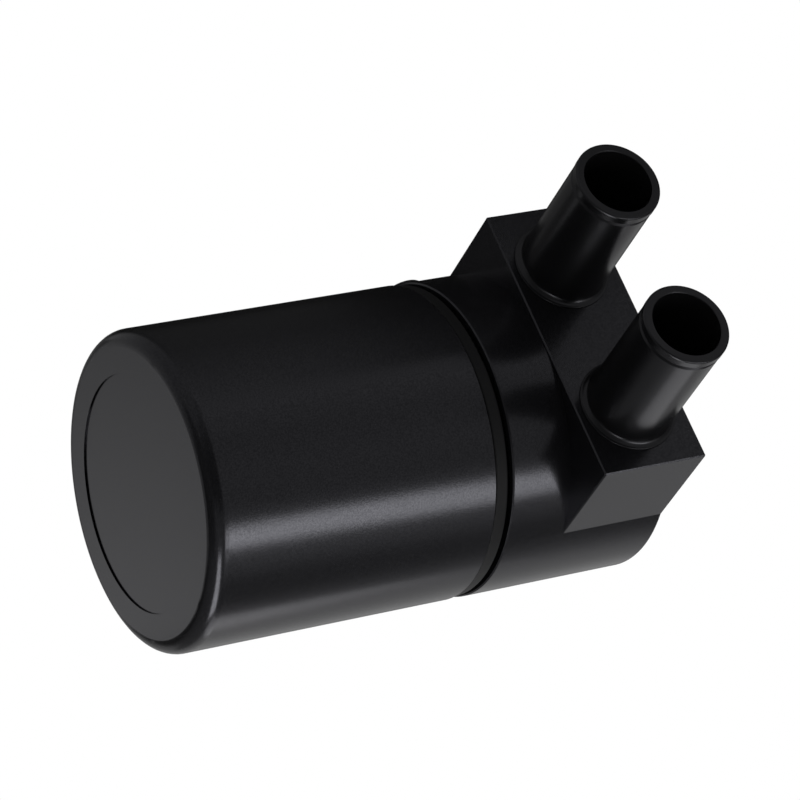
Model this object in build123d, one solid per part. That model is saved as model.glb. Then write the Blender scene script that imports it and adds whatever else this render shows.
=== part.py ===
from math import cos, radians, sin

import os

from build123d import *

# Oil catch can, in millimetres. It stands on its bottom with its axis on Z, and its hose barbs point to +Y.
# The bowl screws up onto the head's spigot. Both threads are left plain: the spigot has its root cylinder
# here, and the bowl's mouth its full bore.

# Bowl
can_radius = 35.0
bowl_height = 67.7
bowl_wall = 3.6
bowl_floor = 4.0
bottom_round = 3.5
bottom_recess_radius = 25.8
bottom_recess_depth = 0.35
bowl_inner_round = 4.0
mouth_lead_in = 0.5

# Seam between bowl and head, with the seal ring in it
seal_height = 3.0
seal_width = 3.4
seal_round = 0.5
seal_clearance = 0.1
seam_gap = 1.0

# Head
head_height = 40.2
edge_break = 0.3
spigot_clearance = 0.3
pilot_length = 7.0
thread_length = 9.0
thread_depth = 1.2
spigot_wall = 3.4
spigot_end_break = 0.8

# Port block
block_inset = 1.7
block_height = 25.7
port_face_step = 0.5
barb_spacing = 36.4
barb_drop = 13.2
passage_radius = 7.0
passage_floor = 8.1
passage_overrun = 6.0

# Hose barbs
hose_radius = 9.6
barb_reach = 32.7
barb_wall = 1.85
lip_step = 0.1
lip_height = 1.9
lip_round = 0.5
relief_width = 1.1
relief_depth = 0.4
mouth_break = 0.15
collar_width = 1.4
collar_height = 0.4
collar_round = 0.15
shank_wall = 1.3
shank_length = 11.0
shank_clearance = 0.1
barb_seal_section = 1.4
barb_seal_clearance = 0.05

# Drop tube, screens, mesh and snap ring
drop_tube_radius = 6.0
drop_tube_wall = 1.0
drop_tube_inset = 3.7
drop_tube_y = 3.0
drop_tube_seat = 8.0
drop_tube_rise = 18.0
drop_tube_clearance = 0.05
plenum_height = 6.0
shelf_width = 2.0
screen_thickness = 1.2
screen_clearance = 0.1
screen_hole_radius = 2.0
screen_pitch = 7.5
screen_margin = 2.0
screen_web = 1.5
mesh_edge_round = 1.0
snap_ring_thickness = 1.6
snap_ring_width = 2.6
snap_ring_bite = 1.2
snap_ring_land = 1.6
snap_ring_gap = 7.0
snap_ring_lug_radius = 2.4
snap_ring_eye_radius = 0.9
groove_clearance = 0.1

# Bracket screw
bracket_screw_rise = 9.2
screw_radius = 3.0
screw_length = 5.5
screw_head_radius = 5.0
screw_head_height = 4.0
screw_head_break = 0.4
screw_socket_radius = 2.31
screw_socket_depth = 2.0
screw_clearance = 0.05
screw_hole_spare = 0.6
spot_face_margin = 0.4
spot_face_depth = 0.9

# Worked out from the sizes above
bowl_bore = can_radius - bowl_wall
spigot_radius = bowl_bore - spigot_clearance
thread_root_radius = spigot_radius - thread_depth
chamber_radius = thread_root_radius - spigot_wall
plenum_radius = chamber_radius - shelf_width
seal_z = bowl_height + seal_clearance
head_rim_z = seal_z + seal_height + seam_gap
can_height = head_rim_z + head_height
pilot_end_z = head_rim_z - pilot_length
spigot_end_z = pilot_end_z - thread_length

block_length = 2 * (can_radius - block_inset)
port_face_reach = can_radius + port_face_step
barb_x = barb_spacing / 2
barb_z = can_height - barb_drop
bore_radius = hose_radius - barb_wall
lip_radius = hose_radius + lip_step
collar_radius = hose_radius + collar_width
foot_fillet = collar_width - collar_round
shank_radius = bore_radius + shank_wall
barb_seal_radius = shank_radius + barb_seal_clearance + barb_seal_section / 2
barb_seal_pocket_radius = barb_seal_radius + barb_seal_section / 2 + barb_seal_clearance
barb_seal_pocket_depth = barb_seal_section + 2 * barb_seal_clearance

plenum_top_z = barb_z - passage_radius - passage_floor
shelf_z = plenum_top_z - plenum_height
snap_ring_z = spigot_end_z + snap_ring_land
lower_screen_z = snap_ring_z + snap_ring_thickness
upper_screen_z = shelf_z - screen_thickness
mesh_z = lower_screen_z + screen_thickness
drop_tube_x = barb_x - drop_tube_inset
drop_tube_end = bowl_floor + drop_tube_rise
drop_tube_top_z = plenum_top_z + drop_tube_seat
drop_hole_radius = drop_tube_radius + drop_tube_clearance
screen_radius = chamber_radius - screen_clearance
snap_ring_radius = chamber_radius + snap_ring_bite
groove_radius = snap_ring_radius + groove_clearance

# The screw's head lies on a flat that is sunk a little into the can's side.
bracket_screw_z = head_rim_z + bracket_screw_rise
spot_face_radius = screw_head_radius + spot_face_margin
spot_face_x = can_radius - spot_face_depth

standing = (Align.CENTER, Align.CENTER, Align.MIN)
hanging = (Align.CENTER, Align.CENTER, Align.MAX)


def make_bowl():
    # One turned cup: recessed bottom, rounded bottom edge, plain bore with a lead-in at the mouth.
    floor_round = bowl_bore - bowl_inner_round
    with BuildPart() as bowl:
        with BuildSketch(Plane.XZ):
            with BuildLine():
                Polyline(
                    (0, bowl_floor),
                    (0, bottom_recess_depth),
                    (bottom_recess_radius, bottom_recess_depth),
                    (bottom_recess_radius, 0),
                    (can_radius - bottom_round, 0),
                )
                CenterArc((can_radius - bottom_round, bottom_round), bottom_round, -90, 90)
                Polyline(
                    (can_radius, bottom_round),
                    (can_radius, bowl_height - edge_break),
                    (can_radius - edge_break, bowl_height),
                    (bowl_bore + mouth_lead_in, bowl_height),
                    (bowl_bore, bowl_height - mouth_lead_in),
                    (bowl_bore, bowl_floor + bowl_inner_round),
                )
                CenterArc((floor_round, bowl_floor + bowl_inner_round), bowl_inner_round, -90, 90)
                Line((floor_round, bowl_floor), (0, bowl_floor))
            make_face()
        revolve(axis=Axis.Z)
    return bowl.part


def make_head_seal_ring():
    # Flat-sided rubber ring with rounded edges, on the spigot and just over the bowl's rim.
    middle = spigot_radius + seal_clearance + seal_width / 2
    section = Pos(middle, seal_z + seal_height / 2) * RectangleRounded(seal_width, seal_height, seal_round)
    return revolve(Plane.XZ * section, Axis.Z)


def port_plane(side):
    # Plane on the port face at one barb's axis, facing out of the block.
    return Plane((side * barb_x, port_face_reach, barb_z), x_dir=(1, 0, 0), z_dir=(0, 1, 0))


def bracket_plane():
    # Plane on the flat under the bracket screw's head, facing out of the head's side.
    return Plane((spot_face_x, 0, bracket_screw_z), x_dir=(0, 1, 0), z_dir=(1, 0, 0))


def turned(points):
    # Solid of revolution about Z from a closed outline of radius and height pairs.
    outline = make_face(Plane.XZ * Polyline(*points, close=True))
    return revolve(outline, Axis.Z)


def make_cap():
    # The head's turned outside: side, shoulder and the spigot with its pilot and thread lengths.
    return turned(
        [
            (0, spigot_end_z),
            (thread_root_radius - spigot_end_break, spigot_end_z),
            (thread_root_radius, spigot_end_z + spigot_end_break),
            (thread_root_radius, pilot_end_z),
            (spigot_radius, pilot_end_z + thread_depth),
            (spigot_radius, head_rim_z),
            (can_radius - edge_break, head_rim_z),
            (can_radius, head_rim_z + edge_break),
            (can_radius, can_height - edge_break),
            (can_radius - edge_break, can_height),
            (0, can_height),
        ]
    )


def make_chamber():
    # The head's bored inside: mesh chamber with its ring groove, shelf, and the plenum over it.
    return turned(
        [
            (0, spigot_end_z),
            (chamber_radius, spigot_end_z),
            (chamber_radius, snap_ring_z - groove_clearance),
            (groove_radius, snap_ring_z - groove_clearance),
            (groove_radius, lower_screen_z + groove_clearance),
            (chamber_radius, lower_screen_z + groove_clearance),
            (chamber_radius, shelf_z),
            (plenum_radius, shelf_z),
            (plenum_radius, plenum_top_z),
            (0, plenum_top_z),
        ]
    )


def make_head():
    # One billet piece: the turned cap, the square port block on its +Y side, and the drilled passages.
    block = Box(block_length, port_face_reach, block_height, align=(Align.CENTER, Align.MIN, Align.MAX))
    block = chamfer(block.edges(), edge_break)
    cap = make_cap()
    chamber = make_chamber()
    passage_length = port_face_reach - drop_tube_y + passage_overrun
    with BuildPart() as head:
        add(cap)
        add(Pos(0, 0, can_height) * block)
        add(chamber, mode=Mode.SUBTRACT)
        for side in (-1, 1):
            with Locations(port_plane(side)):
                Cylinder(passage_radius, passage_length, align=hanging, mode=Mode.SUBTRACT)
                Cylinder(shank_radius + shank_clearance, shank_length, align=hanging, mode=Mode.SUBTRACT)
                Cylinder(barb_seal_pocket_radius, barb_seal_pocket_depth, align=hanging, mode=Mode.SUBTRACT)
            with Locations((side * drop_tube_x, drop_tube_y, plenum_top_z)):
                Cylinder(drop_hole_radius, barb_z - plenum_top_z, align=standing, mode=Mode.SUBTRACT)
        with Locations(bracket_plane()):
            Cylinder(spot_face_radius, can_radius, align=standing, mode=Mode.SUBTRACT)
            screw_hole_depth = screw_length + screw_hole_spare
            Cylinder(screw_radius + screw_clearance, screw_hole_depth, align=hanging, mode=Mode.SUBTRACT)
    return head.part


def make_barb():
    # One turned barb along Z: threaded shank below the port face, collar, hose length and a lip at the mouth.
    mouth = barb_reach
    lip_foot = mouth - lip_height
    relief_foot = lip_foot - relief_width
    collar_inner = collar_radius - collar_round
    with BuildPart() as barb:
        with BuildSketch(Plane.XZ):
            with BuildLine():
                Polyline(
                    (bore_radius, mouth - mouth_break),
                    (bore_radius, -shank_length),
                    (shank_radius, -shank_length),
                    (shank_radius, 0),
                    (collar_radius, 0),
                    (collar_radius, collar_height - collar_round),
                )
                CenterArc((collar_inner, collar_height - collar_round), collar_round, 0, 90)
                CenterArc((collar_inner, collar_height + foot_fillet), foot_fillet, 180, 90)
                Polyline(
                    (hose_radius, collar_height + foot_fillet),
                    (hose_radius, relief_foot),
                    (hose_radius - relief_depth, relief_foot + relief_depth),
                    (hose_radius - relief_depth, lip_foot),
                    (lip_radius, lip_foot),
                    (lip_radius, mouth - lip_round),
                )
                CenterArc((lip_radius - lip_round, mouth - lip_round), lip_round, 0, 90)
                Polyline(
                    (lip_radius - lip_round, mouth),
                    (bore_radius + mouth_break, mouth),
                    (bore_radius, mouth - mouth_break),
                )
            make_face()
        revolve(axis=Axis.Z)
    return barb.part


def make_barb_seal():
    # Small rubber ring round the barb's shank, in the pocket under its collar.
    ring = Torus(barb_seal_radius, barb_seal_section / 2)
    return Pos(0, 0, -barb_seal_pocket_depth / 2) * ring


def make_drop_tube():
    # Plain tube, seated in the inlet's drilling and open over the bowl's floor.
    length = drop_tube_top_z - drop_tube_end
    tube = Cylinder(drop_tube_radius, length, align=standing)
    tube -= Cylinder(drop_tube_radius - drop_tube_wall, length, align=standing)
    return Pos(drop_tube_x, drop_tube_y, drop_tube_end) * tube


def screen_hole_places():
    # Hexagonal rows of holes, kept clear of the disc's edge and of the drop tube's hole.
    reach = screen_radius - screen_margin - screen_hole_radius
    keep_off = drop_tube_radius + screen_web + screen_hole_radius
    row_height = screen_pitch * sin(radians(60))
    rows = int(reach / row_height)
    columns = int(reach / screen_pitch) + 1
    places = []
    for row in range(-rows, rows + 1):
        shift = screen_pitch * cos(radians(60)) * (row % 2)
        for column in range(-columns, columns + 1):
            place = Vector(column * screen_pitch + shift, row * row_height)
            from_tube = (place - Vector(drop_tube_x, drop_tube_y)).length
            if place.length <= reach and from_tube >= keep_off:
                places.append(place)
    return places


def make_screen(z):
    # Perforated disc, with a hole for the drop tube.
    with BuildPart() as screen:
        with BuildSketch(Plane.XY.offset(z)):
            Circle(screen_radius)
            with Locations((drop_tube_x, drop_tube_y)):
                Circle(drop_hole_radius, mode=Mode.SUBTRACT)
            with Locations(*screen_hole_places()):
                Circle(screen_hole_radius, mode=Mode.SUBTRACT)
        extrude(amount=screen_thickness)
    return screen.part


def make_mesh_pack():
    # Knitted mesh pressed to a puck between the two screens, with a way through for the drop tube.
    height = upper_screen_z - mesh_z
    puck = Pos(0, 0, mesh_z) * Cylinder(screen_radius, height, align=standing)
    puck = fillet(puck.edges(), mesh_edge_round)
    way = Cylinder(drop_hole_radius, height, align=standing)
    return puck - Pos(drop_tube_x, drop_tube_y, mesh_z) * way


def make_snap_ring():
    # Open flat ring for a bore, with an eyed lug at each side of its gap, which faces -X.
    inner = snap_ring_radius - snap_ring_width
    lug_ring = inner - snap_ring_lug_radius / 2
    lug_offset = snap_ring_gap / 2 + snap_ring_lug_radius
    lug_x = -((lug_ring**2 - lug_offset**2) ** 0.5)
    with BuildPart() as ring:
        with BuildSketch(Plane.XY.offset(snap_ring_z)):
            Circle(snap_ring_radius)
            Circle(inner, mode=Mode.SUBTRACT)
            for side in (-1, 1):
                with Locations((lug_x, side * lug_offset)):
                    Circle(snap_ring_lug_radius)
            with Locations((-snap_ring_radius, 0)):
                Rectangle(2 * snap_ring_radius, snap_ring_gap, mode=Mode.SUBTRACT)
            for side in (-1, 1):
                with Locations((lug_x, side * lug_offset)):
                    Circle(snap_ring_eye_radius, mode=Mode.SUBTRACT)
        extrude(amount=snap_ring_thickness)
    return ring.part


def make_bracket_screw():
    # Low cap screw with a hexagon socket, along Z, with its head's underside at the origin.
    screw = turned(
        [
            (0, -screw_length),
            (screw_radius, -screw_length),
            (screw_radius, 0),
            (screw_head_radius, 0),
            (screw_head_radius, screw_head_height - screw_head_break),
            (screw_head_radius - screw_head_break, screw_head_height),
            (0, screw_head_height),
        ]
    )
    socket = Pos(0, 0, screw_head_height) * RegularPolygon(screw_socket_radius, 6)
    return screw - extrude(socket, amount=-screw_socket_depth)


barb = make_barb()
barb_seal = make_barb_seal()
inlet = port_plane(1)
outlet = port_plane(-1)

nodes = {
    "bowl": make_bowl(),
    "head_seal_ring": make_head_seal_ring(),
    "head": make_head(),
    "inlet_barb": inlet * barb,
    "outlet_barb": outlet * barb,
    "inlet_barb_seal": inlet * barb_seal,
    "outlet_barb_seal": outlet * barb_seal,
    "drop_tube": make_drop_tube(),
    "upper_screen": make_screen(upper_screen_z),
    "mesh_pack": make_mesh_pack(),
    "lower_screen": make_screen(lower_screen_z),
    "snap_ring": make_snap_ring(),
    "bracket_screw": bracket_plane() * make_bracket_screw(),
}

os.makedirs("parts", exist_ok=True)
for name, solid in nodes.items():
    export_step(solid, f"parts/{name}.step")
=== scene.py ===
import math

import bpy
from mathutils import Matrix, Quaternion, Vector


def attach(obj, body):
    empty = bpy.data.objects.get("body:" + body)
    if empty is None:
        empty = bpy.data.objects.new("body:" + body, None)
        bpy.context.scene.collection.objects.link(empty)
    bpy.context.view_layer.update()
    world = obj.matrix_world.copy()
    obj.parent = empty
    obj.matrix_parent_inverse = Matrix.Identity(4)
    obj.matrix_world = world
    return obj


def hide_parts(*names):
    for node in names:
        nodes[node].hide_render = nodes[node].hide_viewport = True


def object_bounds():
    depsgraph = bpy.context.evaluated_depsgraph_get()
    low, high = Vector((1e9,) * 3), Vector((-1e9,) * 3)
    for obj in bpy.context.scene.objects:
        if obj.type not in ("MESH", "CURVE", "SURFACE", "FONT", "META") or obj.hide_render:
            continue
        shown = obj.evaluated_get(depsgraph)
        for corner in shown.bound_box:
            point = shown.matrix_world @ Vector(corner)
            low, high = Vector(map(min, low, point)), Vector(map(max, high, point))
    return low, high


# Oil catch can on a pale floor: finishes, thread ridges, knitted mesh, studio light and the
# photograph's camera. Lengths are in metres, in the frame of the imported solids.

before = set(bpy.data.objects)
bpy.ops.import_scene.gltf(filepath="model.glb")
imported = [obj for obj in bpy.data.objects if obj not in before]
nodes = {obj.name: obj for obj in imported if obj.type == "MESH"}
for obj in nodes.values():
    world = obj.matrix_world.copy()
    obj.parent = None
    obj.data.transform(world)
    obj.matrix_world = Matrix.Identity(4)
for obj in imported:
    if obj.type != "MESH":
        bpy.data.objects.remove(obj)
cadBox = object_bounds()
canMiddle = (cadBox[0] + cadBox[1]) / 2
canFoot = Vector((0, 0, 0))
mm = 0.001
scene = bpy.context.scene
scene.view_settings.view_transform = "Standard"
bpy.ops.object.select_all(action="DESELECT")


def hexColour(code):
    # sRGB hex to the linear colour that shaders take
    channels = [int(code[i:i + 2], 16) / 255 for i in (1, 3, 5)]
    linear = [c / 12.92 if c <= 0.04045 else ((c + 0.055) / 1.055) ** 2.4 for c in channels]
    return linear + [1.0]


def addNode(tree, kind, inputs=None, **settings):
    # A node with its settings, and its sockets set to a value or linked from another socket
    node = tree.nodes.new(kind)
    for name, value in settings.items():
        setattr(node, name, value)
    for socket, value in (inputs or {}).items():
        if isinstance(value, bpy.types.NodeSocket):
            tree.links.new(value, node.inputs[socket])
        else:
            node.inputs[socket].default_value = value
    return node


def newMaterial(name):
    material = bpy.data.materials.new(name)
    material.use_nodes = True
    material.node_tree.nodes.clear()
    return material, material.node_tree


def selectPoints(piece, test):
    # Edit mode, with just the vertices selected whose place passes the test
    bpy.ops.object.mode_set(mode="EDIT")
    bpy.ops.mesh.select_mode(type="VERT")
    bpy.ops.mesh.select_all(action="DESELECT")
    bpy.ops.object.mode_set(mode="OBJECT")
    for vertex in piece.data.vertices:
        vertex.select = test(vertex.co)
    bpy.ops.object.mode_set(mode="EDIT")


def direction(azimuth, elevation):
    # Unit vector by compass angle from +X towards +Y, and by height over the floor, in degrees
    a, e = math.radians(azimuth), math.radians(elevation)
    return Vector((math.cos(a) * math.cos(e), math.sin(a) * math.cos(e), math.sin(e)))


def turnTo(thing, level, roll):
    # Points a thing by a level turn, then rolls it about its own axis by degrees
    thing.rotation_mode = "QUATERNION"
    thing.rotation_quaternion = level @ Quaternion((0, 0, 1), math.radians(roll))


# Camera: a long lens from below and in front of the barbs, rolled so that the can lies across
# the frame
photoView = {
    "aim": (-3.15 * mm, 27.66 * mm, 52.0 * mm),
    "distance": 0.8636,
    "azimuth": 117.285,
    "elevation": -28.569,
    "roll": 79.94,
    "lens": 183.44,      # lens and sensor width in mm
    "sensor": 36,
    "clip": (0.05, 50),
}


def addCamera(spec):
    back = direction(spec["azimuth"], spec["elevation"])
    bpy.ops.object.camera_add(location=Vector(spec["aim"]) + back * spec["distance"])
    camera = bpy.context.object
    camera.name = "photoCamera"
    turnTo(camera, (-back).to_track_quat("-Z", "Y"), spec["roll"])
    camera.data.sensor_width = spec["sensor"]
    camera.data.lens = spec["lens"]
    camera.data.clip_start, camera.data.clip_end = spec["clip"]
    scene.camera = camera


addCamera(photoView)
print("camera placed")

# Studio: white surround, pale floor, a grey cloth tent with a few cards, and softboxes
surround = {"white": "#ffffff", "fill": "#d8d8da", "fillStrength": 0.75}


def makeSurround(spec):
    # White where it is seen, straight or mirrored, and a softer fill for the light that it gives
    world = bpy.data.worlds.new("whiteStudio")
    scene.world = world
    world.use_nodes = True
    tree = world.node_tree
    tree.nodes.clear()
    path = addNode(tree, "ShaderNodeLightPath").outputs
    seen = path["Is Camera Ray"]
    for ray in ("Is Glossy Ray", "Is Transmission Ray"):
        either = addNode(tree, "ShaderNodeMath", {0: seen, 1: path[ray]}, operation="MAXIMUM")
        seen = either.outputs[0]
    fill = addNode(tree, "ShaderNodeBackground", {
        "Color": hexColour(spec["fill"]), "Strength": spec["fillStrength"],
    })
    white = addNode(tree, "ShaderNodeBackground", {
        "Color": hexColour(spec["white"]), "Strength": 1.0,
    })
    mix = addNode(tree, "ShaderNodeMixShader", {0: seen, 1: fill.outputs[0], 2: white.outputs[0]})
    addNode(tree, "ShaderNodeOutputWorld", {"Surface": mix.outputs[0]})


floorSpec = {"size": 8.0, "drop": 0.1 * mm, "colour": "#e9e9e8"}


def makeFloor(spec):
    # Painted board. From below it is clear, because the photograph looks up at the closed bottom,
    # and light and reflections from below pass through it too.
    bpy.ops.mesh.primitive_plane_add(size=spec["size"], location=(0, 0, -spec["drop"]))
    floor = bpy.context.object
    floor.name = "paleFloor"
    material, tree = newMaterial("paintedBoard")
    path = addNode(tree, "ShaderNodeLightPath").outputs
    clear = addNode(tree, "ShaderNodeNewGeometry").outputs["Backfacing"]
    for ray in ("Is Shadow Ray", "Is Glossy Ray"):
        either = addNode(tree, "ShaderNodeMath", {0: clear, 1: path[ray]}, operation="MAXIMUM")
        clear = either.outputs[0]
    paint = addNode(tree, "ShaderNodeBsdfDiffuse", {"Color": hexColour(spec["colour"])})
    glass = addNode(tree, "ShaderNodeBsdfTransparent")
    mix = addNode(tree, "ShaderNodeMixShader", {0: clear, 1: paint.outputs[0], 2: glass.outputs[0]})
    addNode(tree, "ShaderNodeOutputMaterial", {"Surface": mix.outputs[0]})
    floor.data.materials.append(material)


def showInReflectionsOnly(card):
    card.visible_camera = False
    card.visible_diffuse = False
    card.visible_transmission = False
    card.visible_shadow = False
    card.visible_volume_scatter = False


def hangCloth(piece, material, tree, tone):
    # Gives a stage piece a tone of its own that shows in reflections and lights nothing
    glow = addNode(tree, "ShaderNodeEmission", {"Strength": tone})
    addNode(tree, "ShaderNodeOutputMaterial", {"Surface": glow.outputs[0]})
    material.cycles.emission_sampling = "NONE"
    piece.data.materials.append(material)
    showInReflectionsOnly(piece)


# The tent is what the satin metal mirrors: its tone by compass angle, in bands from the ground up.
# The tones are light levels that were set to match the photograph's reflections.
tentSpec = {
    "radius": 3.0,
    "segments": 64,
    "rings": 32,
    "ground": 0.15,
    "under": [
        (-180, 0.35), (-115, 0.33), (-88, 0.20), (-80, 0.07), (-52, 0.07), (-43, 0.46),
        (0, 0.36), (60, 0.35), (95, 0.11), (128, 0.09), (152, 0.38), (180, 0.35),
    ],
    "wall": [
        (-180, 0.62), (-165, 0.24), (-150, 0.24), (-122, 0.80), (-90, 0.58), (-56, 0.012),
        (-35, 0.018), (10, 0.17), (45, 0.36), (68, 0.47), (92, 0.35), (118, 0.40), (138, 0.34),
        (168, 0.64), (180, 0.62),
    ],
    "ceiling": 0.15,
    "nadir": (-72, -58),     # heights, in degrees, between which one band turns to the next
    "horizon": (-8, 4),
    "zenith": (50, 62),
}


def makeTent(spec):
    bpy.ops.mesh.primitive_uv_sphere_add(
        segments=spec["segments"], ring_count=spec["rings"], radius=spec["radius"],
        location=canMiddle,
    )
    tent = bpy.context.object
    tent.name = "greyTent"
    material, tree = newMaterial("greyCloth")
    place = addNode(tree, "ShaderNodeTexCoord").outputs["Object"]
    height = addNode(tree, "ShaderNodeSeparateXYZ", {0: place}).outputs["Z"]
    gradient = addNode(tree, "ShaderNodeTexGradient", {"Vector": place}, gradient_type="RADIAL")
    tone = spec["ground"]
    for turn, band in (("nadir", "under"), ("horizon", "wall"), ("zenith", "ceiling")):
        low, high = [spec["radius"] * math.sin(math.radians(h)) for h in spec[turn]]
        step = addNode(tree, "ShaderNodeMapRange", {
            "Value": height, "From Min": low, "From Max": high,
        }, interpolation_type="SMOOTHSTEP")
        above = spec[band]
        if isinstance(above, list):
            ramp = addNode(tree, "ShaderNodeValToRGB", {"Fac": gradient.outputs["Fac"]})
            stops = ramp.color_ramp.elements
            for azimuth, grey in above[1:-1]:
                stops.new(azimuth / 360 + 0.5)
            for stop, (azimuth, grey) in zip(stops, above):
                stop.color = (grey, grey, grey, 1)
            above = ramp.outputs["Color"]
        # Mix takes its numbers at sockets 2 and 3, and its colours at 6 and 7
        tone = addNode(tree, "ShaderNodeMix", {0: step.outputs[0], 2: tone, 3: above}).outputs[0]
    hangCloth(tent, material, tree, tone)


# A dark curtain hangs close by: the head and the bowl's upper end mirror more of it than the
# bowl's foot does
curtain = {
    "radius": 0.5, "sides": 72, "foot": 0.31, "top": 0.9, "from": -75, "to": 62.5, "tone": 0.01,
}


def addCurtain(spec):
    height = spec["top"] - spec["foot"]
    bpy.ops.mesh.primitive_cylinder_add(
        vertices=spec["sides"], radius=spec["radius"], depth=height, end_fill_type="NOTHING",
        location=(0, 0, spec["foot"] + height / 2),
    )
    piece = bpy.context.object
    piece.name = "darkCurtain"
    middle = math.radians(spec["from"] + spec["to"]) / 2
    half = math.radians(spec["to"] - spec["from"]) / 2
    facing = Vector((math.cos(middle), math.sin(middle)))
    selectPoints(piece, lambda co: co.xy.angle(facing) > half)
    bpy.ops.mesh.delete(type="VERT")
    bpy.ops.object.mode_set(mode="OBJECT")
    material, tree = newMaterial("darkCloth")
    hangCloth(piece, material, tree, spec["tone"])


# Cards: size in degrees as seen from the point that they are set about, tones against the
# surround's white, and the share of the width over which the first tone turns to the second
cards = {
    "lowStrip": {
        "about": canMiddle, "azimuth": 197.5, "elevation": -24.5, "distance": 2.0,
        "across": 20, "along": 44, "tilt": -58, "tones": (5.7, 5.7), "fade": 1,
    },
    "paleCard": {
        "about": canFoot, "azimuth": 308, "elevation": -28, "distance": 0.12,
        "across": 55.4, "along": 29, "tilt": 0, "tones": (1.08, 0.44), "fade": 0.87,
    },
    "underCard": {
        "about": canFoot, "azimuth": 307, "elevation": -50, "distance": 0.13,
        "across": 44, "along": 32, "tilt": 0, "tones": (0.4, 0.4), "fade": 1,
    },
    "backCard": {
        "about": canMiddle, "azimuth": 292, "elevation": 0, "distance": 2.0,
        "across": 52, "along": 38, "tilt": 0, "tones": (0.62, 0.08), "fade": 1,
    },
}


def spanOf(degrees, distance):
    # Width that fills an angle at a distance
    return 2 * distance * math.tan(math.radians(degrees / 2))


def addCard(name, spec):
    away = direction(spec["azimuth"], spec["elevation"])
    bpy.ops.mesh.primitive_plane_add(size=1, location=spec["about"] + away * spec["distance"])
    card = bpy.context.object
    card.name = name
    turnTo(card, away.to_track_quat("Z", "Y"), spec["tilt"])
    across = spanOf(spec["across"], spec["distance"])
    along = spanOf(spec["along"], spec["distance"])
    card.scale = (across, along, 1)
    material, tree = newMaterial(name + "Cloth")
    place = addNode(tree, "ShaderNodeTexCoord").outputs["Object"]
    sideways = addNode(tree, "ShaderNodeSeparateXYZ", {0: place}).outputs["X"]
    firstTone, secondTone = spec["tones"]
    tone = addNode(tree, "ShaderNodeMapRange", {
        "Value": sideways, "From Min": -0.5, "From Max": spec["fade"] - 0.5,
        "To Min": firstTone, "To Max": secondTone,
    })
    hangCloth(card, material, tree, tone.outputs[0])


# Softboxes: radiance is against the surround's white of 1. The low ones light the can and not
# the floor beside them, which they would blow out to white.
wattsForWhite = 4        # to a square metre of an area lamp, for a radiance of 1
litPieces = bpy.data.collections.new("litPieces")
softboxes = {
    "keyStrip": {
        "azimuth": 160.6, "elevation": 28, "distance": 1.4, "across": 0.30, "along": 0.38,
        "tilt": -38, "radiance": 3.75, "mirrored": True, "floorToo": False,
    },
    "keyFoot": {
        "azimuth": 159.7, "elevation": 9.5, "distance": 1.4, "across": 0.41, "along": 0.66,
        "tilt": 0, "radiance": 2.95, "mirrored": True, "floorToo": False,
    },
    "sideBox": {
        "azimuth": 229, "elevation": 10.5, "distance": 1.6, "across": 0.50, "along": 0.90,
        "tilt": -25, "radiance": 1.35, "mirrored": True, "floorToo": False,
    },
    "topBox": {
        "azimuth": 270, "elevation": 80, "distance": 1.5, "across": 1.0, "along": 1.0,
        "tilt": 0, "radiance": 1.6, "mirrored": False, "floorToo": True,
    },
}


def addSoftbox(name, spec):
    away = direction(spec["azimuth"], spec["elevation"])
    bpy.ops.object.light_add(type="AREA", location=canMiddle + away * spec["distance"])
    lamp = bpy.context.object
    lamp.name = name
    turnTo(lamp, (-away).to_track_quat("-Z", "Y"), spec["tilt"])
    lamp.data.shape = "RECTANGLE"
    lamp.data.size = spec["across"]
    lamp.data.size_y = spec["along"]
    lamp.data.energy = wattsForWhite * spec["radiance"] * spec["across"] * spec["along"]
    lamp.visible_camera = False
    lamp.visible_glossy = spec["mirrored"]
    if not spec["floorToo"]:
        lamp.light_linking.receiver_collection = litPieces


makeSurround(surround)
makeFloor(floorSpec)
makeTent(tentSpec)
addCurtain(curtain)
for cardName, cardSpec in cards.items():
    addCard(cardName, cardSpec)
for boxName, boxSpec in softboxes.items():
    addSoftbox(boxName, boxSpec)
print("studio built:", len(softboxes), "softboxes,", len(cards), "cards")

# Finishes. Each roughness follows its pattern by the spread to either side.

# Blasted and black anodised aluminium: a dyed skin on metal, satin, with a fine sparkle in its
# highlights
blastedBlack = {
    "dark": "#2a2a2d",       # the grain's two tones
    "light": "#363639",
    "edge": "#e1e1e1",       # reflection near grazing, held down by the skin
    "metallic": 0.85,
    "roughness": 0.195,
    "roughnessSpread": 0.02,
    "grain": 0.35 * mm,      # blast grain, drawn about twice its size so that it shows
    "grainDetail": 1.5,
    "grainDepth": 0.008 * mm,
    "sparkle": (0.35, 0.65),     # the grain's levels between which dark turns to light
    "mottle": 9 * mm,
    "mottleDetail": 3,
}


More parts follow.
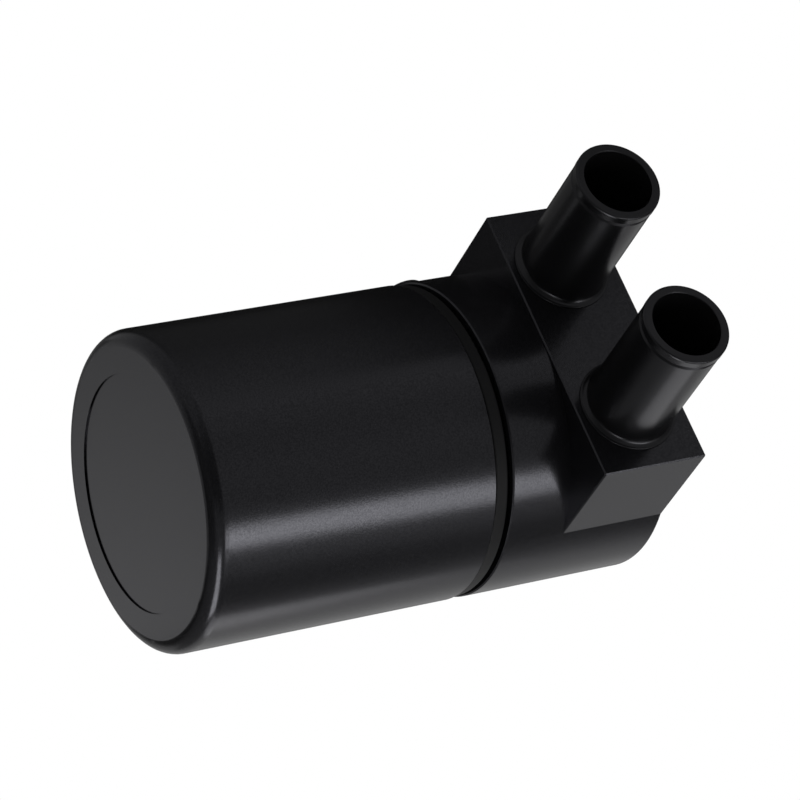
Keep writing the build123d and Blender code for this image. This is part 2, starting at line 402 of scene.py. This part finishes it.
def blastedAnodised(spec):
    material, tree = newMaterial("blackAnodisedBlasted")
    place = addNode(tree, "ShaderNodeTexCoord").outputs["Object"]
    grain = addNode(tree, "ShaderNodeTexNoise", {
        "Vector": place, "Scale": 1 / spec["grain"], "Detail": spec["grainDetail"],
    })
    mottle = addNode(tree, "ShaderNodeTexNoise", {
        "Vector": place, "Scale": 1 / spec["mottle"], "Detail": spec["mottleDetail"],
    })
    rough = addNode(tree, "ShaderNodeMapRange", {
        "Value": mottle.outputs["Fac"],
        "To Min": spec["roughness"] - spec["roughnessSpread"],
        "To Max": spec["roughness"] + spec["roughnessSpread"],
    })
    bump = addNode(tree, "ShaderNodeBump", {
        "Height": grain.outputs["Fac"], "Distance": spec["grainDepth"],
    })
    low, high = spec["sparkle"]
    sparkle = addNode(tree, "ShaderNodeMapRange", {
        "Value": grain.outputs["Fac"], "From Min": low, "From Max": high,
    })
    tone = addNode(tree, "ShaderNodeMix", {
        0: sparkle.outputs[0], 6: hexColour(spec["dark"]), 7: hexColour(spec["light"]),
    }, data_type="RGBA")
    shader = addNode(tree, "ShaderNodeBsdfPrincipled", {
        "Base Color": tone.outputs[2],
        "Metallic": spec["metallic"],
        "Roughness": rough.outputs[0],
        "Specular Tint": hexColour(spec["edge"]),
        "Normal": bump.outputs[0],
    })
    addNode(tree, "ShaderNodeOutputMaterial", {"Surface": shader.outputs[0]})
    return material


# Turned and black anodised aluminium: a soft sheen, with fine rings left by the lathe tool
turnedBlack = {
    "colour": "#2d2d2f",
    "edge": "#e1e1e1",
    "metallic": 0.85,
    "roughness": 0.25,
    "roughnessSpread": 0.01,
    "ring": 0.25 * mm,       # tool feed
    "ringDetail": 2,
    "ringDepth": 0.0006 * mm,
}


def turnedAnodised(spec):
    material, tree = newMaterial("blackAnodisedTurned")
    place = addNode(tree, "ShaderNodeTexCoord").outputs["Object"]
    split = addNode(tree, "ShaderNodeSeparateXYZ", {0: place})
    along = addNode(tree, "ShaderNodeMath", {
        0: split.outputs["Y"], 1: 1 / spec["ring"],
    }, operation="MULTIPLY")
    rings = addNode(tree, "ShaderNodeTexNoise", {
        "W": along.outputs[0], "Scale": 1, "Detail": spec["ringDetail"],
    }, noise_dimensions="1D")
    rough = addNode(tree, "ShaderNodeMapRange", {
        "Value": rings.outputs["Fac"],
        "To Min": spec["roughness"] - spec["roughnessSpread"],
        "To Max": spec["roughness"] + spec["roughnessSpread"],
    })
    bump = addNode(tree, "ShaderNodeBump", {
        "Height": rings.outputs["Fac"], "Distance": spec["ringDepth"],
    })
    shader = addNode(tree, "ShaderNodeBsdfPrincipled", {
        "Base Color": hexColour(spec["colour"]),
        "Metallic": spec["metallic"],
        "Roughness": rough.outputs[0],
        "Specular Tint": hexColour(spec["edge"]),
        "Normal": bump.outputs[0],
    })
    addNode(tree, "ShaderNodeOutputMaterial", {"Surface": shader.outputs[0]})
    return material


# Moulded nitrile rubber: black and dull, with the mould's faint tooth
nitrileSpec = {
    "colour": "#0f0f10",
    "roughness": 0.6,
    "roughnessSpread": 0.06,
    "gloss": 0.16,
    "tooth": 0.4 * mm,
    "toothDetail": 2,
    "toothDepth": 0.008 * mm,
}


def nitrileRubber(spec):
    material, tree = newMaterial("nitrileRubber")
    place = addNode(tree, "ShaderNodeTexCoord").outputs["Object"]
    tooth = addNode(tree, "ShaderNodeTexNoise", {
        "Vector": place, "Scale": 1 / spec["tooth"], "Detail": spec["toothDetail"],
    })
    rough = addNode(tree, "ShaderNodeMapRange", {
        "Value": tooth.outputs["Fac"],
        "To Min": spec["roughness"] - spec["roughnessSpread"],
        "To Max": spec["roughness"] + spec["roughnessSpread"],
    })
    bump = addNode(tree, "ShaderNodeBump", {
        "Height": tooth.outputs["Fac"], "Distance": spec["toothDepth"],
    })
    shader = addNode(tree, "ShaderNodeBsdfPrincipled", {
        "Base Color": hexColour(spec["colour"]),
        "Roughness": rough.outputs[0],
        "Specular IOR Level": spec["gloss"],
        "Normal": bump.outputs[0],
    })
    addNode(tree, "ShaderNodeOutputMaterial", {"Surface": shader.outputs[0]})
    return material


# Bare and treated metals of the small and inner pieces, with streaks by their length on each axis
metalGrain = {"roughnessSpread": 0.08, "streakDetail": 3}
metalSpecs = {
    "blackOxideSteel": {         # an even black
        "colour": "#2c2c2d", "roughness": 0.34,
        "streak": (0.3 * mm, 0.3 * mm, 0.3 * mm), "depth": 0.004 * mm,
    },
    "drawnAluminium": {          # bright, with long lines down the tube
        "colour": "#dcdcdd", "roughness": 0.28,
        "streak": (0.25 * mm, 0.25 * mm, 8 * mm), "depth": 0.002 * mm,
    },
    "stainlessSheet": {          # bright, with the rolling's lines across the disc
        "colour": "#cfcdca", "roughness": 0.30,
        "streak": (12 * mm, 0.2 * mm, 0.2 * mm), "depth": 0.002 * mm,
    },
    "stainlessWire": {           # bright and smooth
        "colour": "#c9c8c5", "roughness": 0.25,
        "streak": (0.5 * mm, 0.5 * mm, 0.5 * mm), "depth": 0.002 * mm,
    },
    "phosphatedSpringSteel": {   # a dull grey
        "colour": "#6c6c6d", "roughness": 0.42,
        "streak": (0.2 * mm, 0.2 * mm, 0.2 * mm), "depth": 0.004 * mm,
    },
}


def streakedMetal(name, spec, grain):
    material, tree = newMaterial(name)
    place = addNode(tree, "ShaderNodeTexCoord").outputs["Object"]
    stretched = addNode(tree, "ShaderNodeMapping", {
        "Vector": place, "Scale": [1 / size for size in spec["streak"]],
    })
    streaks = addNode(tree, "ShaderNodeTexNoise", {
        "Vector": stretched.outputs[0], "Scale": 1, "Detail": grain["streakDetail"],
    })
    rough = addNode(tree, "ShaderNodeMapRange", {
        "Value": streaks.outputs["Fac"],
        "To Min": spec["roughness"] - grain["roughnessSpread"],
        "To Max": spec["roughness"] + grain["roughnessSpread"],
    })
    bump = addNode(tree, "ShaderNodeBump", {
        "Height": streaks.outputs["Fac"], "Distance": spec["depth"],
    })
    shader = addNode(tree, "ShaderNodeBsdfPrincipled", {
        "Base Color": hexColour(spec["colour"]),
        "Metallic": 1.0,
        "Roughness": rough.outputs[0],
        "Normal": bump.outputs[0],
    })
    addNode(tree, "ShaderNodeOutputMaterial", {"Surface": shader.outputs[0]})
    return material


finishes = {
    "blackAnodisedBlasted": blastedAnodised(blastedBlack),
    "blackAnodisedTurned": turnedAnodised(turnedBlack),
    "nitrileRubber": nitrileRubber(nitrileSpec),
}
for metalName, metalSpec in metalSpecs.items():
    finishes[metalName] = streakedMetal(metalName, metalSpec, metalGrain)

finishOf = {
    "bowl": "blackAnodisedBlasted",
    "head": "blackAnodisedBlasted",
    "inlet_barb": "blackAnodisedTurned",
    "outlet_barb": "blackAnodisedTurned",
    "head_seal_ring": "nitrileRubber",
    "inlet_barb_seal": "nitrileRubber",
    "outlet_barb_seal": "nitrileRubber",
    "bracket_screw": "blackOxideSteel",
    "drop_tube": "drawnAluminium",
    "upper_screen": "stainlessSheet",
    "lower_screen": "stainlessSheet",
    "snap_ring": "phosphatedSpringSteel",
}
for nodeName, finishName in finishOf.items():
    nodes[nodeName].data.materials.clear()
    nodes[nodeName].data.materials.append(finishes[finishName])
print("finishes:", len(finishes), "on", len(finishOf), "nodes")

# Thread ridges: right-handed, on the plain spigot and in the plain bore that the solids have
threadForm = {
    "pitch": 2.0 * mm,
    "base": 1.5 * mm,        # the ridge's width at the wall and at its crest
    "crest": 0.3 * mm,
    "sunk": 0.1 * mm,        # how far the ridge goes into the wall
    "stepsPerTurn": 72,
    "runOut": 8 * mm,        # the length over which each end fades into the wall
    "slack": 0.01,           # in picking an end's points: a share of the base, and radians
    "smooth": 30,            # degrees
}
threads = {
    "spigotThread": {
        "body": "head_body", "wall": 29.9 * mm, "crest": 31.0 * mm, "start": 57.4 * mm,
        "turns": 3.3,
    },
    "bowlThread": {
        "body": "bowl_body", "wall": 31.4 * mm, "crest": 30.2 * mm, "start": 54.4 * mm,
        "turns": 4.8,
    },
}


def cutThread(name, spec, form):
    # The ridge's section, as a plane that narrows towards the crest
    outward = 1 if spec["crest"] > spec["wall"] else -1
    root = spec["wall"] - outward * form["sunk"]
    bpy.ops.object.select_all(action="DESELECT")
    bpy.ops.mesh.primitive_plane_add(
        size=1, location=((root + spec["crest"]) / 2, 0, spec["start"]),
        rotation=(math.pi / 2, 0, 0),
    )
    ridge = bpy.context.object
    ridge.name = name
    ridge.scale = (abs(spec["crest"] - root), form["base"], 1)
    bpy.ops.object.transform_apply(location=True, rotation=True, scale=True)
    selectPoints(ridge, lambda co: abs(co.x - spec["crest"]) < form["sunk"] / 2)
    bpy.ops.transform.resize(
        value=(1, 1, form["crest"] / form["base"]),
        center_override=(spec["crest"], 0, spec["start"]),
    )
    bpy.ops.object.mode_set(mode="OBJECT")
    lead = ridge.modifiers.new("lead", "SCREW")
    lead.angle = 2 * math.pi * spec["turns"]
    lead.screw_offset = form["pitch"] * spec["turns"]
    lead.steps = round(form["stepsPerTurn"] * spec["turns"])
    lead.render_steps = lead.steps
    bpy.ops.object.modifier_apply(modifier=lead.name)
    # Each end sinks into the wall over the run-out
    sink = spec["wall"] - spec["crest"] - outward * form["sunk"] / 2
    reach = form["base"] * (0.5 + form["slack"])
    for turns in (0, spec["turns"]):
        angle = 2 * math.pi * turns
        height = spec["start"] + form["pitch"] * turns
        facing = Vector((math.cos(angle), math.sin(angle), 0))
        selectPoints(ridge, lambda co: (
            abs(co.z - height) < reach and co.xy.angle(facing.xy) < form["slack"]
        ))
        bpy.ops.transform.translate(
            value=facing * sink, use_proportional_edit=True, use_proportional_connected=True,
            proportional_edit_falloff="SMOOTH", proportional_size=form["runOut"],
        )
    bpy.ops.mesh.select_all(action="SELECT")
    bpy.ops.mesh.fill_holes(sides=4)
    bpy.ops.mesh.select_all(action="SELECT")
    bpy.ops.mesh.normals_make_consistent(inside=False)
    bpy.ops.object.mode_set(mode="OBJECT")
    bpy.ops.object.shade_smooth_by_angle(angle=math.radians(form["smooth"]))
    ridge.data.materials.append(finishes["blackAnodisedBlasted"])
    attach(ridge, spec["body"])
    print(name + ":", len(ridge.data.polygons), "faces")
    return ridge


newPieces = []
for threadName, threadSpec in threads.items():
    newPieces.append(cutThread(threadName, threadSpec, threadForm))

# Knitted stainless wire, rolled up in layers that leave room for the drop tube: it stands for the
# plain puck between the screens, in coarser wire and loops than the real mesh so that they show
knit = {
    "wire": 0.2 * mm,            # radius
    "weld": 0.02 * mm,           # wire ends this close are one point
    "loop": 4.2 * mm,            # loop width
    "rise": 1.9 * mm,            # how far the path swings up and down, sideways and in depth
    "swing": 0.6 * mm,
    "depth": 0.35 * mm,
    "points": 8,                 # to a loop
    "firstLayer": 4.6 * mm,
    "layerStep": 3.0 * mm,
    "layers": 8,
    "firstCourse": 62.3 * mm,
    "courseStep": 2.42 * mm,
    "courses": 6,
    "tube": (14.5 * mm, 3.0 * mm),
    "tubeRoom": 6.6 * mm,
    "smooth": 50,                # degrees
}


def knitLayer(radius, spec):
    loops = round(2 * math.pi * radius / spec["loop"])

    def pathPoint(step):
        # A plain knitted loop: on and back, up and down, in front and behind
        phase = 2 * math.pi * step / spec["points"]
        angle = phase / loops + spec["swing"] / radius * math.sin(2 * phase)
        reach = radius + spec["depth"] * math.cos(2 * phase)
        height = spec["firstCourse"] + spec["rise"] * math.cos(phase)
        return Vector((reach * math.cos(angle), reach * math.sin(angle), height))

    # One loop's path, drawn point by point from a plane that is merged to its middle
    bpy.ops.object.select_all(action="DESELECT")
    bpy.ops.mesh.primitive_plane_add(size=spec["wire"], location=pathPoint(0))
    layer = bpy.context.object
    bpy.ops.object.transform_apply(location=True)
    bpy.ops.object.mode_set(mode="EDIT")
    bpy.ops.mesh.merge(type="CENTER")
    for step in range(spec["points"]):
        move = pathPoint(step + 1) - pathPoint(step)
        bpy.ops.mesh.extrude_region_move(TRANSFORM_OT_translate={"value": move})
    # The loops of one course, without those in the drop tube's place
    bpy.ops.mesh.select_all(action="SELECT")
    bpy.ops.mesh.spin(
        steps=loops, angle=2 * math.pi, dupli=True, center=(0, 0, 0), axis=(0, 0, 1),
    )
    bpy.ops.mesh.select_all(action="SELECT")
    bpy.ops.mesh.remove_doubles(threshold=spec["weld"])
    tube = Vector(spec["tube"])
    selectPoints(layer, lambda co: (co.xy - tube).length < spec["tubeRoom"])
    bpy.ops.mesh.delete(type="VERT")
    bpy.ops.object.mode_set(mode="OBJECT")
    bpy.ops.object.convert(target="CURVE")
    layer.data.bevel_depth = spec["wire"]
    layer.data.bevel_resolution = 0
    layer.data.use_fill_caps = True
    bpy.ops.object.convert(target="MESH")
    stack = layer.modifiers.new("courses", "ARRAY")
    stack.count = spec["courses"]
    stack.use_relative_offset = False
    stack.use_constant_offset = True
    stack.constant_offset_displace = (0, 0, spec["courseStep"])
    bpy.ops.object.modifier_apply(modifier=stack.name)
    return layer


knitLayers = []
for i in range(knit["layers"]):
    knitLayers.append(knitLayer(knit["firstLayer"] + i * knit["layerStep"], knit))
for layer in knitLayers:
    layer.select_set(True)
bpy.ops.object.join()
knittedMesh = bpy.context.object
knittedMesh.name = "knittedMesh"
bpy.ops.object.mode_set(mode="EDIT")
bpy.ops.mesh.select_all(action="SELECT")
bpy.ops.mesh.normals_make_consistent(inside=False)
bpy.ops.object.mode_set(mode="OBJECT")
bpy.ops.object.shade_smooth_by_angle(angle=math.radians(knit["smooth"]))
knittedMesh.data.materials.clear()
knittedMesh.data.materials.append(finishes["stainlessWire"])
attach(knittedMesh, "head_body")
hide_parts("mesh_pack")
newPieces.append(knittedMesh)
print("knitted mesh:", len(knittedMesh.data.polygons), "faces in", len(knitLayers), "layers")

for piece in list(nodes.values()) + newPieces:
    litPieces.objects.link(piece)
